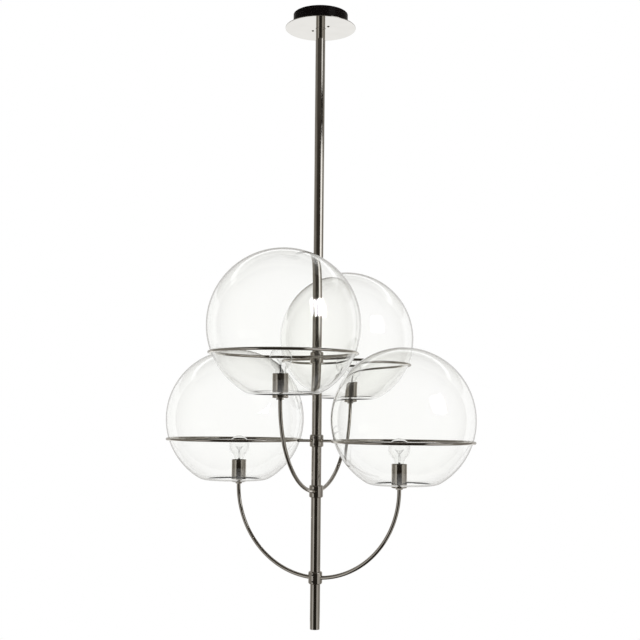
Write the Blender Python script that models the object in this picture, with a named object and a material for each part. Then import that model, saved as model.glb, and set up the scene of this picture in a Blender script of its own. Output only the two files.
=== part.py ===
# A rod-hung chandelier. Four clear glass globes sit in thin metal rings, in two crossed tiers,
# and a lamp stands inside each globe on a curved tube that springs from the stem.
# The origin is on the ceiling, at the middle of the ceiling plate. +Z is up, the lower pair of
# globes lies along X and the upper pair along Y. All lengths are in metres.

import math

import bpy
import bmesh
from mathutils import Matrix, Vector

# Fits that every piece shares
FIT = 0.0003
OVERRUN = 0.005
MERGE_DISTANCE = 0.00001
SHARP_EDGE = math.radians(40)

# Stem: one drawn tube from the ceiling fitting to its cut lower end
STEM_RADIUS = 0.014
STEM_WALL = 0.0013
STEM_SIDES = 14

# Where the tiers hang: the lower one is a globe's radius and an allowance below the upper one
UPPER_RING_DROP = 1.007
TIER_ALLOWANCE = 0.033
UPPER_HOLDER_DROP = 0.118
LOWER_HOLDER_DROP = 0.1235
STEM_TAIL = 0.141
ARM_INSET = 0.004
LOWER_ARM_TURN = math.radians(-4.9)
UPPER_ARM_TURN = math.radians(-2.15)

# Globe: blown glass, carried by its ring. Its mouth below is turned inwards to a round lip.
# The upper pair is blown a little larger than the lower one.
GLOBE_RADIUS = 0.200
UPPER_GLOBE_GAIN = 0.0042
GLOBE_WALL = 0.003
GLOBE_MOUTH_RADIUS = 0.079
MOUTH_TURN_RADIUS = 0.050
GLOBE_SIDES = 24
ABOVE_SEAT_STEPS = 5
BELOW_SEAT_STEPS = 2
LIP_STEPS = 2

# Ring: a rod bent to a circle, with a short straight rod that enters the collar.
# A lower globe rests in it at the seat angle below its own equator.
SEAT_ANGLE = math.radians(17.35)
RING_ROD_RADIUS = 0.004
RING_GAP = 0.0355

# Arm: a quarter circle of tube with a straight top that carries the lamp holder
ARM_RADIUS = 0.0055
ARM_WALL = 0.001
ARM_STRAIGHT = 0.0065
ARM_END_IN_HOLDER = 0.012
ARM_STEPS = 8
ROD_SIDES = 6

# Collars on the stem, and the tapped holes for their grub screws
COLLAR_RADIUS = 0.0195
COLLAR_HEIGHT = 0.035
COLLAR_CHAMFER = 0.004
FILLET_STEPS = 2
GRUB_RADIUS = 0.002
GRUB_HEIGHT = 0.009
GRUB_SIDES = 6

# Lamp holder: metal cover, ceramic insert and screw shell
HOLDER_RADIUS = 0.0215
HOLDER_HEIGHT = 0.065
HOLDER_WALL = 0.001
HOLDER_SHOULDER = 0.0025
INSERT_BOTTOM = 0.016
INSERT_TOP_DROP = 0.003
INSERT_RECESS_RADIUS = 0.0065
INSERT_RECESS_DEPTH = 0.008
INSERT_SHELF = 0.017
SHELL_WALL = 0.0006
SHELL_HEIGHT = 0.026
SHELL_FLOOR = 0.001
LAMP_SIDES = 12
LOCKNUT_RADIUS = 0.0105
LOCKNUT_HEIGHT = 0.004
NUT_SIDES = 6

# Bulb: clear pear-shaped lamp on a screw cap
BULB_RADIUS = 0.030
BULB_NECK_RADIUS = 0.0121
BULB_WALL = 0.0009
BULB_FLARE_RADIUS = 0.030
BULB_CROWN_STEPS = 4
BULB_NECK_STEPS = 2
BULB_NECK_IN_CAP = 0.004
CAP_RADIUS = 0.0132
CAP_HEIGHT = 0.026
CAP_WALL = 0.0007
CAP_TAPER = 0.0035
CAP_TAPER_RADIUS = 0.009
CAP_FLOOR = 0.003
CONTACT_RADIUS = 0.005
CONTACT_HEIGHT = 0.0015
MOUNT_FOOT_HEIGHT = 0.0015
MOUNT_FLARE_HEIGHT = 0.008
MOUNT_ROD_RADIUS = 0.0024
MOUNT_ROD_HEIGHT = 0.026
WIRE_RADIUS = 0.0005
WIRE_SPREAD = 0.012
WIRE_RISE = 0.016
FILAMENT_DIP = 0.004
FILAMENT_STEPS = 4
WIRE_SIDES = 4

# Wiring inside the stem and arms
CABLE_RADIUS = 0.0025
CABLE_BEND = 0.010
LEAD_RADIUS = 0.0020
LEAD_OFFSET = 0.0055
LEAD_BEND = 0.007
LEAD_END_IN_HOLDER = 0.020
SPLICE_RADIUS = 0.010
SPLICE_HEIGHT = 0.030
SPLICE_ABOVE_ARMS = 0.040
CABLE_SIDES = 5
BEND_STEPS = 3

# Canopy: a drawn cup with a polished disc below it, held by two screws
CANOPY_DEPTH = 0.0395
CUP_RADIUS = 0.0795
CUP_WALL = 0.0012
CUP_CORNER = 0.004
CANOPY_SIDES = 32
DISC_RADIUS = 0.1025
DISC_THICKNESS = 0.002
DISC_EDGE = 0.0006
STEM_HOLE_CLEARANCE = 0.0007
CANOPY_SCREW_REACH = 0.029
SCREW_RADIUS = 0.002
SCREW_HEAD_RADIUS = 0.0042
SCREW_HEAD_HEIGHT = 0.0018
SCREW_TIP = 0.002
SCREW_SIDES = 8

# Ceiling plate, hanger yoke and terminal block, all hidden by the canopy
PLATE_RADIUS = 0.062
PLATE_THICKNESS = 0.003
FIXING_REACH = 0.048
FIXING_HOLE_RADIUS = 0.003
CABLE_HOLE_REACH = 0.026
CABLE_HOLE_RADIUS = 0.008
YOKE_TURN = math.radians(-18.5)
YOKE_HALF_SPAN = 0.038
YOKE_WIDTH = 0.022
YOKE_THICKNESS = 0.0025
YOKE_FLANGE = 0.016
YOKE_SCREW_INSET = 0.007
NIPPLE_RADIUS = 0.005
NIPPLE_WALL = 0.0014
NIPPLE_ABOVE_NUT = 0.003
NIPPLE_IN_BUSH = 0.014
NIPPLE_SIDES = 12
HANGER_NUT_RADIUS = 0.0085
HANGER_NUT_HEIGHT = 0.005
BUSH_HEIGHT = 0.018
PLUG_HEIGHT = 0.006
PLUG_RECESS = 0.0005
TERMINAL_REACH = 0.030
TERMINAL_LENGTH = 0.030
TERMINAL_WIDTH = 0.017
TERMINAL_HEIGHT = 0.014
TERMINAL_CREST_WIDTH = 0.009
TERMINAL_STEP = 0.006

# Sizes that follow from the ones above
FULL_TURN = 2 * math.pi
QUARTER_TURN = math.pi / 2
UPPER_GLOBE_RADIUS = GLOBE_RADIUS + UPPER_GLOBE_GAIN
RING_RADIUS = (GLOBE_RADIUS + RING_ROD_RADIUS + FIT) * math.cos(SEAT_ANGLE)
RING_REACH = COLLAR_RADIUS + RING_GAP + RING_ROD_RADIUS + RING_RADIUS
LOWER_RING_DROP = UPPER_RING_DROP + GLOBE_RADIUS + TIER_ALLOWANCE
ARM_REACH = RING_REACH - ARM_INSET
HOLDER_RISE = ARM_REACH + ARM_STRAIGHT
UPPER_ARM_DROP = UPPER_RING_DROP + UPPER_HOLDER_DROP + HOLDER_RISE
LOWER_ARM_DROP = LOWER_RING_DROP + LOWER_HOLDER_DROP + HOLDER_RISE
STEM_BORE_RADIUS = STEM_RADIUS - STEM_WALL
STEM_HOLE_RADIUS = STEM_RADIUS + STEM_HOLE_CLEARANCE
ARM_BORE_RADIUS = ARM_RADIUS - ARM_WALL
ARM_START = STEM_BORE_RADIUS - FIT
ARM_START_ANGLE = math.asin(ARM_START / ARM_REACH)
COLLAR_BORE_RADIUS = STEM_RADIUS + FIT
INSERT_RADIUS = HOLDER_RADIUS - HOLDER_WALL - FIT
INSERT_TOP = HOLDER_HEIGHT - INSERT_TOP_DROP
SHELL_BORE_RADIUS = CAP_RADIUS + FIT
SHELL_RADIUS = SHELL_BORE_RADIUS + SHELL_WALL
SHELL_BOTTOM = INSERT_BOTTOM + INSERT_SHELF + FIT
CAP_BOTTOM = SHELL_BOTTOM + SHELL_FLOOR + FIT
CAP_TOP = CAP_BOTTOM + CONTACT_HEIGHT + CAP_HEIGHT
DISC_BOTTOM = -CANOPY_DEPTH - DISC_THICKNESS
CUP_BOTTOM = -CANOPY_DEPTH + FIT
CUP_FLOOR_TOP = CUP_BOTTOM + CUP_WALL
WEB_BOTTOM = CUP_FLOOR_TOP + FIT
WEB_TOP = WEB_BOTTOM + YOKE_THICKNESS
STEM_TOP = CUP_FLOOR_TOP
STEM_BOTTOM = -LOWER_ARM_DROP - STEM_TAIL
NIPPLE_TOP = WEB_TOP + FIT + HANGER_NUT_HEIGHT + NIPPLE_ABOVE_NUT
SPLICE_BOTTOM = -UPPER_ARM_DROP + SPLICE_ABOVE_ARMS
SCREW_HOLE_RADIUS = SCREW_RADIUS + FIT

# The lower tier reaches right and left, the upper tier front and back. The arms are turned a
# little from the rings that they belong to.
TIERS = {
    "lower": {
        "ring_height": -LOWER_RING_DROP,
        "globe_radius": GLOBE_RADIUS,
        "arm_height": -LOWER_ARM_DROP,
        "arm_turn": LOWER_ARM_TURN,
        "turns": {"right": 0.0, "left": math.pi},
    },
    "upper": {
        "ring_height": -UPPER_RING_DROP,
        "globe_radius": UPPER_GLOBE_RADIUS,
        "arm_height": -UPPER_ARM_DROP,
        "arm_turn": UPPER_ARM_TURN,
        "turns": {"front": -QUARTER_TURN, "back": QUARTER_TURN},
    },
}

# Materials: colour, roughness and metallic value
FINISHES = {
    "polished_nickel": ((0.62, 0.61, 0.58, 1.0), 0.12, 1.0),
    "black_lacquer": ((0.02, 0.02, 0.02, 1.0), 0.3, 0.0),
    "mirror_disc": ((0.86, 0.86, 0.85, 1.0), 0.04, 1.0),
    "zinced_steel": ((0.55, 0.56, 0.57, 1.0), 0.35, 1.0),
    "clear_glass": ((0.95, 0.97, 0.96, 1.0), 0.0, 0.0),
    "porcelain": ((0.88, 0.87, 0.83, 1.0), 0.25, 0.0),
    "brass": ((0.78, 0.62, 0.34, 1.0), 0.28, 1.0),
    "bulb_cap": ((0.75, 0.76, 0.77, 1.0), 0.3, 1.0),
    "wire": ((0.5, 0.5, 0.5, 1.0), 0.35, 1.0),
    "cable_sheath": ((0.9, 0.89, 0.86, 1.0), 0.5, 0.0),
    "nylon": ((0.92, 0.91, 0.88, 1.0), 0.45, 0.0),
}


def clear_scene():
    for old in list(bpy.data.objects):
        bpy.data.objects.remove(old)


def material(finish):
    found = bpy.data.materials.get(finish)
    if found:
        return found
    colour, roughness, metallic = FINISHES[finish]
    made = bpy.data.materials.new(finish)
    made.use_nodes = True
    shader = made.node_tree.nodes["Principled BSDF"]
    shader.inputs["Base Color"].default_value = colour
    shader.inputs["Roughness"].default_value = roughness
    shader.inputs["Metallic"].default_value = metallic
    if finish == "clear_glass":
        shader.inputs["Transmission Weight"].default_value = 1.0
    made.diffuse_color = colour
    return made


def new_mesh(shape, name):
    """Closes the bmesh into a mesh with its faces turned outwards."""
    bmesh.ops.remove_doubles(shape, verts=shape.verts, dist=MERGE_DISTANCE)
    bmesh.ops.recalc_face_normals(shape, faces=shape.faces)
    mesh = bpy.data.meshes.new(name)
    shape.to_mesh(mesh)
    shape.free()
    return mesh


def place(name, mesh, finish, parent=None, location=(0, 0, 0), turn=0.0):
    """Adds one named piece to the scene, smooth on its round faces."""
    mesh.name = name
    mesh.materials.clear()
    mesh.materials.append(material(finish))
    mesh.shade_smooth()
    mesh.set_sharp_from_angle(angle=SHARP_EDGE)
    piece = bpy.data.objects.new(name, mesh)
    bpy.context.scene.collection.objects.link(piece)
    piece.parent = parent
    piece.location = location
    piece.rotation_euler = (0, 0, turn)
    return piece


def anchor(name, location, turn=0.0, parent=None):
    """An empty that carries the pieces of one assembly."""
    empty = bpy.data.objects.new(name, None)
    bpy.context.scene.collection.objects.link(empty)
    empty.parent = parent
    empty.location = location
    empty.rotation_euler = (0, 0, turn)
    return empty


def arc(centre, radius, start, end, steps):
    """Points of an arc, both ends included, angles counted from the first axis."""
    return [
        (
            centre[0] + radius * math.cos(start + (end - start) * k / steps),
            centre[1] + radius * math.sin(start + (end - start) * k / steps),
        )
        for k in range(steps + 1)
    ]


def lathe(name, outline, sides, closed=True):
    """Turns an outline of (radius, height) points about Z. An open one ends on the axis."""
    shape = bmesh.new()
    points = [shape.verts.new((radius, 0, height)) for radius, height in outline]
    edges = [shape.edges.new(pair) for pair in zip(points, points[1:])]
    if closed:
        edges.append(shape.edges.new((points[-1], points[0])))
    bmesh.ops.spin(
        shape,
        geom=points + edges,
        axis=(0, 0, 1),
        cent=(0, 0, 0),
        angle=FULL_TURN,
        steps=sides,
        use_merge=True,
    )
    return new_mesh(shape, name)


def round_section(radius, sides):
    return [
        (radius * math.cos(FULL_TURN * k / sides), radius * math.sin(FULL_TURN * k / sides))
        for k in range(sides)
    ]


def skin(shape, loops):
    """Joins neighbouring loops of equally many points with four-sided faces."""
    for first, second in zip(loops, loops[1:]):
        count = len(first)
        for k in range(count):
            after = (k + 1) % count
            shape.faces.new((first[k], first[after], second[after], second[k]))


def sweep(name, path, radius, sides, bore=0):
    """A round rod, or a tube with a bore, along a path of (x, z) points in the XZ plane."""
    shape = bmesh.new()
    points = [Vector((x, 0, z)) for x, z in path]
    frames = []
    for k, point in enumerate(points):
        after = points[min(k + 1, len(points) - 1)] - points[min(k, len(points) - 2)]
        before = points[max(k, 1)] - points[max(k - 1, 0)]
        tangent = (after.normalized() + before.normalized()).normalized()
        mitre = 1 / tangent.dot(after.normalized())
        frames.append((point, Vector((-tangent.z, 0, tangent.x)) * mitre))

    def loops_of(size):
        return [
            [shape.verts.new(point + Vector((0, a, 0)) + up * b) for a, b in round_section(size, sides)]
            for point, up in frames
        ]

    outer = loops_of(radius)
    skin(shape, outer)
    if bore:
        inner = loops_of(bore)
        skin(shape, inner)
        skin(shape, [outer[0], inner[0]])
        skin(shape, [outer[-1], inner[-1]])
    else:
        shape.faces.new(outer[0])
        shape.faces.new(outer[-1])
    return new_mesh(shape, name)


def rod(name, radius, sides, low, high):
    """An upright solid rod between two heights, centred on Z."""
    return lathe(name, [(0, low), (radius, low), (radius, high), (0, high)], sides, closed=False)


def tube(name, radius, bore, sides, low, high):
    return lathe(name, [(bore, low), (radius, low), (radius, high), (bore, high)], sides)


def prism(name, outline, half_width):
    """Pulls a closed outline in the XZ plane out to both sides along Y."""
    shape = bmesh.new()
    front = [shape.verts.new((x, -half_width, z)) for x, z in outline]
    face = shape.faces.new(front)
    pulled = bmesh.ops.extrude_face_region(shape, geom=[face])
    back = [item for item in pulled["geom"] if isinstance(item, bmesh.types.BMVert)]
    bmesh.ops.translate(shape, verts=back, vec=(0, 2 * half_width, 0))
    return new_mesh(shape, name)


def combine(mesh, other, operation):
    """The mesh after a Boolean with another one. Both meshes are used up."""
    body = bpy.data.objects.new("body", mesh)
    tool = bpy.data.objects.new("tool", other)
    for piece in (body, tool):
        bpy.context.scene.collection.objects.link(piece)
    step = body.modifiers.new("combine", "BOOLEAN")
    step.operation = operation
    step.solver = "EXACT"
    step.object = tool
    graph = bpy.context.evaluated_depsgraph_get()
    result = bpy.data.meshes.new_from_object(body.evaluated_get(graph))
    bpy.data.objects.remove(body)
    bpy.data.objects.remove(tool)
    return result


def moved(mesh, matrix):
    mesh.transform(matrix)
    return mesh


def radial_rod(radius, sides, start, end, height, turn):
    """A level rod that points away from the Z axis in the direction of turn."""
    mesh = sweep("rod", [(start, height), (end, height)], radius, sides)
    return moved(mesh, Matrix.Rotation(turn, 4, "Z"))


def drilled(mesh, radius, places, low, high):
    """Upright round holes at (x, y) places."""
    for x, y in places:
        drill = rod("drill", radius, SCREW_SIDES, low, high)
        mesh = combine(mesh, moved(drill, Matrix.Translation((x, y, 0))), "DIFFERENCE")
    return mesh


def arm_path(start_angle, end_rise):
    """Middle line of an arm, from the stem axis outwards. Height 0 is the arm collar's middle."""
    bend = arc((0, ARM_REACH), ARM_REACH, start_angle - QUARTER_TURN, 0, ARM_STEPS)
    return bend + [(ARM_REACH, HOLDER_RISE + end_rise)]


def arm_mesh():
    """The bent tube with the nut that its holder cover is clamped on."""
    path = arm_path(ARM_START_ANGLE, ARM_END_IN_HOLDER)
    bent = sweep("arm", path, ARM_RADIUS, ROD_SIDES, ARM_BORE_RADIUS)
    nut_top = HOLDER_RISE - FIT
    nut_bore = (ARM_RADIUS + ARM_BORE_RADIUS) / 2
    nut = tube("nut", LOCKNUT_RADIUS, nut_bore, NUT_SIDES, nut_top - LOCKNUT_HEIGHT, nut_top)
    return combine(bent, moved(nut, Matrix.Translation((ARM_REACH, 0, 0))), "UNION")


def globe_seat(globe_radius):
    """The angle below its equator at which a globe rests, and its middle's height above the ring."""
    distance = globe_radius + RING_ROD_RADIUS + FIT
    angle = math.acos(RING_RADIUS / distance)
    return angle, distance * math.sin(angle)


def globe_mesh(globe_radius):
    """A blown globe, turned inwards to a round lip at its mouth, from its wall's outline."""
    seat_angle = globe_seat(globe_radius)[0]
    turn_reach = globe_radius - MOUTH_TURN_RADIUS
    turn_start = -math.acos(GLOBE_MOUTH_RADIUS / turn_reach)
    turn_height = turn_reach * math.sin(turn_start)

    def wall_face(depth):
        """One face of the wall, from the mouth up to the crown."""
        size = globe_radius - depth
        mouth = (GLOBE_MOUTH_RADIUS, turn_height - MOUTH_TURN_RADIUS + depth)
        below = arc((0, 0), size, turn_start, -seat_angle, BELOW_SEAT_STEPS)
        above = arc((0, 0), size, -seat_angle, QUARTER_TURN, ABOVE_SEAT_STEPS)
        return [mouth] + below + above[1:-1] + [(0, size)]

    lip_centre = (GLOBE_MOUTH_RADIUS, turn_height - MOUTH_TURN_RADIUS + GLOBE_WALL / 2)
    lip = arc(lip_centre, GLOBE_WALL / 2, QUARTER_TURN, 3 * QUARTER_TURN, LIP_STEPS)[1:-1]
    inside = list(reversed(wall_face(GLOBE_WALL)))
    return lathe("globe", inside + lip + wall_face(0), GLOBE_SIDES, closed=False)


def ring_mesh(seat_angle):
    """The ring about its own middle, with its straight rod running to the stem along -X."""
    seat = math.pi - seat_angle
    section = arc((RING_RADIUS, 0), RING_ROD_RADIUS, seat, seat + FULL_TURN, ROD_SIDES)
    hoop = lathe("hoop", section[:-1], GLOBE_SIDES)
    path = [(STEM_RADIUS + FIT - RING_REACH, 0), (-RING_RADIUS, 0)]
    stub = sweep("stub", path, RING_ROD_RADIUS, ROD_SIDES)
    return combine(hoop, stub, "UNION")


def collar_mesh(bores, grub_turn):
    """A turned collar with holes for the rods or arms that enter it and for two grub screws."""
    half = COLLAR_HEIGHT / 2
    edge = COLLAR_RADIUS - COLLAR_CHAMFER
    outline = [
        (COLLAR_BORE_RADIUS, half),
        (COLLAR_BORE_RADIUS, -half),
        (edge, -half),
        (COLLAR_RADIUS, COLLAR_CHAMFER - half),
        (COLLAR_RADIUS, half - COLLAR_CHAMFER),
        (edge, half),
    ]
    mesh = lathe("collar", outline, STEM_SIDES)
    for bore in bores:
        mesh = combine(mesh, bore, "DIFFERENCE")
    for height in (-GRUB_HEIGHT, GRUB_HEIGHT):
        hole = radial_rod(
            GRUB_RADIUS + FIT, GRUB_SIDES, STEM_BORE_RADIUS, COLLAR_RADIUS + OVERRUN, height, grub_turn
        )
        mesh = combine(mesh, hole, "DIFFERENCE")
    return mesh


def rod_bores(turns):
    """Cutters for the ring rods of one tier."""
    return [
        radial_rod(RING_ROD_RADIUS + FIT, ROD_SIDES, 0, COLLAR_RADIUS + OVERRUN, 0, turn)
        for turn in turns
    ]


def arm_bores(turns):
    """Cutters for the arms of one tier: the first stretch of each arm, grown by the fit."""
    start, after = arm_path(ARM_START_ANGLE, 0)[:2]
    slope = (after[1] - start[1]) / (after[0] - start[0])
    path = [(0, start[1] - slope * start[0]), after]
    cutters = []
    for turn in turns:
        grown = sweep("grown", path, ARM_RADIUS + FIT, ROD_SIDES)
        cutters.append(moved(grown, Matrix.Rotation(turn, 4, "Z")))
    return cutters


def holder_cover_mesh():
    """The plated tube round the socket, closed below except for the arm's hole."""
    hole = ARM_RADIUS + FIT
    bore = HOLDER_RADIUS - HOLDER_WALL
    shoulder = HOLDER_RADIUS - HOLDER_SHOULDER
    outline = [(hole, 0)]
    outline += arc((shoulder, HOLDER_SHOULDER), HOLDER_SHOULDER, -QUARTER_TURN, 0, FILLET_STEPS)
    outline += [(HOLDER_RADIUS, HOLDER_HEIGHT), (bore, HOLDER_HEIGHT), (bore, HOLDER_SHOULDER)]
    outline += [(shoulder, HOLDER_WALL), (hole, HOLDER_WALL)]
    return lathe("holder_cover", outline, LAMP_SIDES)


def holder_insert_mesh():
    """The ceramic body: a recess below for the wires, a deep bore above for the screw shell."""
    bore = SHELL_RADIUS + FIT
    shelf = INSERT_BOTTOM + INSERT_SHELF
    outline = [
        (0, INSERT_BOTTOM + INSERT_RECESS_DEPTH),
        (INSERT_RECESS_RADIUS, INSERT_BOTTOM + INSERT_RECESS_DEPTH),
        (INSERT_RECESS_RADIUS, INSERT_BOTTOM),
        (INSERT_RADIUS, INSERT_BOTTOM),
        (INSERT_RADIUS, INSERT_TOP),
        (bore, INSERT_TOP),
        (bore, shelf),
        (0, shelf),
    ]
    return lathe("holder_insert", outline, LAMP_SIDES, closed=False)


def screw_shell_mesh():
    """The brass shell that takes the bulb's cap, with its centre contact as the floor."""
    top = SHELL_BOTTOM + SHELL_HEIGHT
    floor = SHELL_BOTTOM + SHELL_FLOOR
    outline = [
        (0, SHELL_BOTTOM),
        (SHELL_RADIUS, SHELL_BOTTOM),
        (SHELL_RADIUS, top),
        (SHELL_BORE_RADIUS, top),
        (SHELL_BORE_RADIUS, floor),
        (0, floor),
    ]
    return lathe("screw_shell", outline, LAMP_SIDES, closed=False)


def bulb_outline(inset):
    """Pear shape from the neck up to the crown: a hollow neck arc running into a round crown."""
    reach = BULB_NECK_RADIUS + BULB_FLARE_RADIUS
    centre_height = math.sqrt((BULB_RADIUS + BULB_FLARE_RADIUS) ** 2 - reach**2)
    meet = math.atan2(centre_height, reach)
    neck = arc((reach, 0), BULB_FLARE_RADIUS + inset, math.pi, math.pi - meet, BULB_NECK_STEPS)
    crown = arc((0, centre_height), BULB_RADIUS - inset, -meet, QUARTER_TURN, BULB_CROWN_STEPS)
    return neck[:-1] + crown[:-1] + [(0, centre_height + BULB_RADIUS - inset)]


def bulb_glass_mesh():
    """The clear envelope, open at the foot of its neck. Height 0 is the cap's rim."""
    outside = [(BULB_NECK_RADIUS, -BULB_NECK_IN_CAP)] + bulb_outline(0)
    inside = [(BULB_NECK_RADIUS - BULB_WALL, -BULB_NECK_IN_CAP)] + bulb_outline(BULB_WALL)
    return lathe("bulb_glass", list(reversed(inside)) + outside, LAMP_SIDES, closed=False)


def bulb_cap_mesh():
    """The screw cap, its glass insulator and its end contact. Height 0 is the cap's rim."""
    bore = CAP_RADIUS - CAP_WALL
    bottom = -CAP_HEIGHT
    outline = [
        (0, bottom - CONTACT_HEIGHT),
        (CONTACT_RADIUS, bottom - CONTACT_HEIGHT),
        (CAP_TAPER_RADIUS, bottom),
        (CAP_RADIUS, bottom + CAP_TAPER),
        (CAP_RADIUS, 0),
        (bore, 0),
        (bore, bottom + CAP_TAPER + CAP_FLOOR),
        (0, bottom + CAP_TAPER + CAP_FLOOR),
    ]
    return lathe("bulb_cap", outline, LAMP_SIDES, closed=False)


def bulb_mount_mesh():
    """The flared glass mount inside the bulb, and the wire that holds the filament."""
    foot = -BULB_NECK_IN_CAP
    foot_radius = (BULB_NECK_RADIUS - BULB_WALL) * math.cos(math.pi / LAMP_SIDES) - FIT
    outline = [
        (0, foot),
        (foot_radius, foot),
        (foot_radius, foot + MOUNT_FOOT_HEIGHT),
        (MOUNT_ROD_RADIUS, foot + MOUNT_FLARE_HEIGHT),
        (MOUNT_ROD_RADIUS, MOUNT_ROD_HEIGHT),
        (0, MOUNT_ROD_HEIGHT),
    ]
    mount = lathe("mount", outline, SCREW_SIDES, closed=False)
    near = MOUNT_ROD_RADIUS
    top = MOUNT_ROD_HEIGHT + WIRE_RISE
    dip = [
        (
            -WIRE_SPREAD * math.cos(math.pi * k / FILAMENT_STEPS),
            top - FILAMENT_DIP * math.sin(math.pi * k / FILAMENT_STEPS),
        )
        for k in range(FILAMENT_STEPS + 1)
    ]
    path = [(-near, MOUNT_FLARE_HEIGHT), (-near, MOUNT_ROD_HEIGHT)] + dip
    path += [(near, MOUNT_ROD_HEIGHT), (near, MOUNT_FLARE_HEIGHT)]
    wire = sweep("wire", path, WIRE_RADIUS, WIRE_SIDES)
    return combine(mount, wire, "UNION")


def lead_path(height):
    """Middle line of a lamp's lead: down the stem from the splice, along the arm to the holder."""
    down = [(LEAD_OFFSET, SPLICE_BOTTOM - FIT - height)]
    turn = arc((LEAD_OFFSET + LEAD_BEND, LEAD_BEND), LEAD_BEND, math.pi, 3 * QUARTER_TURN, BEND_STEPS)
    return down + turn + arm_path(ARM_START_ANGLE, LEAD_END_IN_HOLDER)[1:]


def build_ceiling_fitting():
    """Plate on the ceiling, yoke screwed under it, and the threaded tube that the stem hangs on."""
    turned = anchor("ceiling_fitting", (0, 0, 0), YOKE_TURN)
    plate_bottom = -PLATE_THICKNESS
    screw_place = YOKE_HALF_SPAN + YOKE_FLANGE - YOKE_SCREW_INSET
    screw_places = [(-screw_place, 0), (screw_place, 0)]
    plate = rod("plate", PLATE_RADIUS, CANOPY_SIDES, plate_bottom, 0)
    low, high = plate_bottom - OVERRUN, OVERRUN
    plate = drilled(plate, FIXING_HOLE_RADIUS, [(0, -FIXING_REACH), (0, FIXING_REACH)], low, high)
    plate = drilled(plate, CABLE_HOLE_RADIUS, [(0, CABLE_HOLE_REACH)], low, high)
    plate = drilled(plate, SCREW_HOLE_RADIUS, screw_places, low, high)
    place("ceiling_plate", plate, "zinced_steel", turned)

    flange_top = plate_bottom - FIT
    flange_bottom = flange_top - YOKE_THICKNESS
    outer = YOKE_HALF_SPAN
    inner = YOKE_HALF_SPAN - YOKE_THICKNESS
    end = YOKE_HALF_SPAN + YOKE_FLANGE
    right_side = [
        (outer, WEB_BOTTOM),
        (outer, flange_bottom),
        (end, flange_bottom),
        (end, flange_top),
        (inner, flange_top),
        (inner, WEB_TOP),
    ]
    left_side = [(-x, z) for x, z in reversed(right_side)]
    yoke = prism("yoke", right_side + left_side, YOKE_WIDTH / 2)
    yoke = drilled(yoke, SCREW_HOLE_RADIUS, screw_places, flange_bottom - OVERRUN, flange_top + OVERRUN)
    web_low, web_high = WEB_BOTTOM - OVERRUN, WEB_TOP + OVERRUN
    canopy_places = [(-CANOPY_SCREW_REACH, 0), (CANOPY_SCREW_REACH, 0)]
    yoke = drilled(yoke, SCREW_HOLE_RADIUS, canopy_places, web_low, web_high)
    hole = rod("hole", NIPPLE_RADIUS + FIT, NIPPLE_SIDES, web_low, web_high)
    yoke = combine(yoke, hole, "DIFFERENCE")
    place("hanger_yoke", yoke, "zinced_steel", turned)

    head_top = flange_bottom - FIT
    screw_outline = [
        (0, head_top - SCREW_HEAD_HEIGHT),
        (SCREW_HEAD_RADIUS, head_top - SCREW_HEAD_HEIGHT),
        (SCREW_HEAD_RADIUS, head_top),
        (SCREW_RADIUS, head_top),
        (SCREW_RADIUS, -FIT),
        (0, -FIT),
    ]
    for side, spot in zip(("left", "right"), screw_places):
        screw = lathe("screw", screw_outline, SCREW_SIDES, closed=False)
        place(f"yoke_screw_{side}", screw, "zinced_steel", turned, (*spot, 0))

    low = STEM_TOP - NIPPLE_IN_BUSH
    nipple = tube("nipple", NIPPLE_RADIUS, NIPPLE_RADIUS - NIPPLE_WALL, NIPPLE_SIDES, low, NIPPLE_TOP)
    place("hanger_nipple", nipple, "brass", turned)
    nut_bottom = WEB_TOP + FIT
    nut = rod("nut", HANGER_NUT_RADIUS, NUT_SIDES, nut_bottom, nut_bottom + HANGER_NUT_HEIGHT)
    bore = rod("bore", NIPPLE_RADIUS + FIT, NIPPLE_SIDES, nut_bottom - OVERRUN, NIPPLE_TOP + OVERRUN)
    place("hanger_nut", combine(nut, bore, "DIFFERENCE"), "brass", turned)

    block_top = plate_bottom - FIT
    step = block_top - TERMINAL_STEP
    crest = TERMINAL_CREST_WIDTH / 2
    half = TERMINAL_WIDTH / 2
    profile = [
        (half, block_top),
        (half, step),
        (crest, block_top - TERMINAL_HEIGHT),
        (-crest, block_top - TERMINAL_HEIGHT),
        (-half, step),
        (-half, block_top),
    ]
    block = prism("block", profile, TERMINAL_LENGTH / 2)
    across = Matrix.Rotation(-QUARTER_TURN, 4, "Z")
    block = moved(block, Matrix.Translation((0, -TERMINAL_REACH, 0)) @ across)
    place("terminal_block", block, "nylon", turned)

    bend_height = block_top - TERMINAL_STEP / 2
    route = [(half + FIT - TERMINAL_REACH, bend_height)]
    route += arc((-CABLE_BEND, bend_height - CABLE_BEND), CABLE_BEND, QUARTER_TURN, 0, BEND_STEPS)
    route += [(0, SPLICE_BOTTOM + SPLICE_HEIGHT / 2)]
    cable = moved(sweep("cable", route, CABLE_RADIUS, CABLE_SIDES), Matrix.Rotation(QUARTER_TURN, 4, "Z"))
    splice = rod("splice", SPLICE_RADIUS, NIPPLE_SIDES, SPLICE_BOTTOM, SPLICE_BOTTOM + SPLICE_HEIGHT)
    place("mains_cable", combine(cable, splice, "UNION"), "cable_sheath", turned)


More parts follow.
